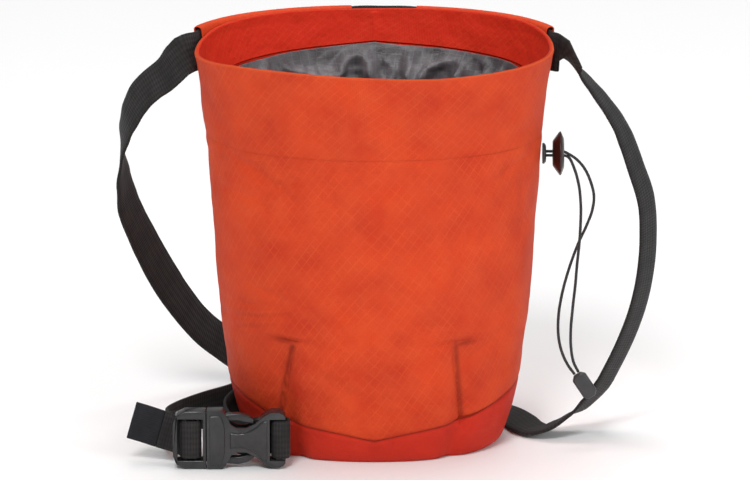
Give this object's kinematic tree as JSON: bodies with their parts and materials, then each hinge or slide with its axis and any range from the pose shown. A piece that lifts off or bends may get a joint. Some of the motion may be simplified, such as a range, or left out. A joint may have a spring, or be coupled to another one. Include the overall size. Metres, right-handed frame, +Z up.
{
  "type": "climbing chalk bag",
  "caption": "Soft tapered pouch with an open oval mouth and gathered lining, worn on a webbing belt with a side release buckle, with a drawcord and cord lock at its side.",
  "frame": {"origin": "middle of the flat bottom, on the surface that the bag stands on", "axes": "+Z up to the mouth, +X along the mouth's long way to the side with the drawcord, +Y to the back where the belt passes"},
  "size_m": [0.2231, 0.137, 0.17],
  "materials": {
    "orange_cloth": "woven nylon, matt",
    "red_cloth": "plain coated nylon",
    "lining": "thin grey lining, creased",
    "webbing": "ribbed webbing",
    "label": "smooth woven tape",
    "moulded_black": "moulded, satin",
    "cord": "thin braided cord"
  },
  "bodies": {
    "root": {"collar": "orange_cloth", "body": "orange_cloth", "boot": "red_cloth", "liner": "lining", "belt_sleeve_left": "orange_cloth", "belt_sleeve_right": "orange_cloth", "belt": "webbing", "belt_label": "label", "buckle_socket": "moulded_black", "buckle_plug": "moulded_black", "cord_eyelet": "moulded_black", "cord_lock": "moulded_black", "drawcord_far": "cord", "drawcord_near": "cord", "cord_pull": "moulded_black"}
  },
  "joints": []
}
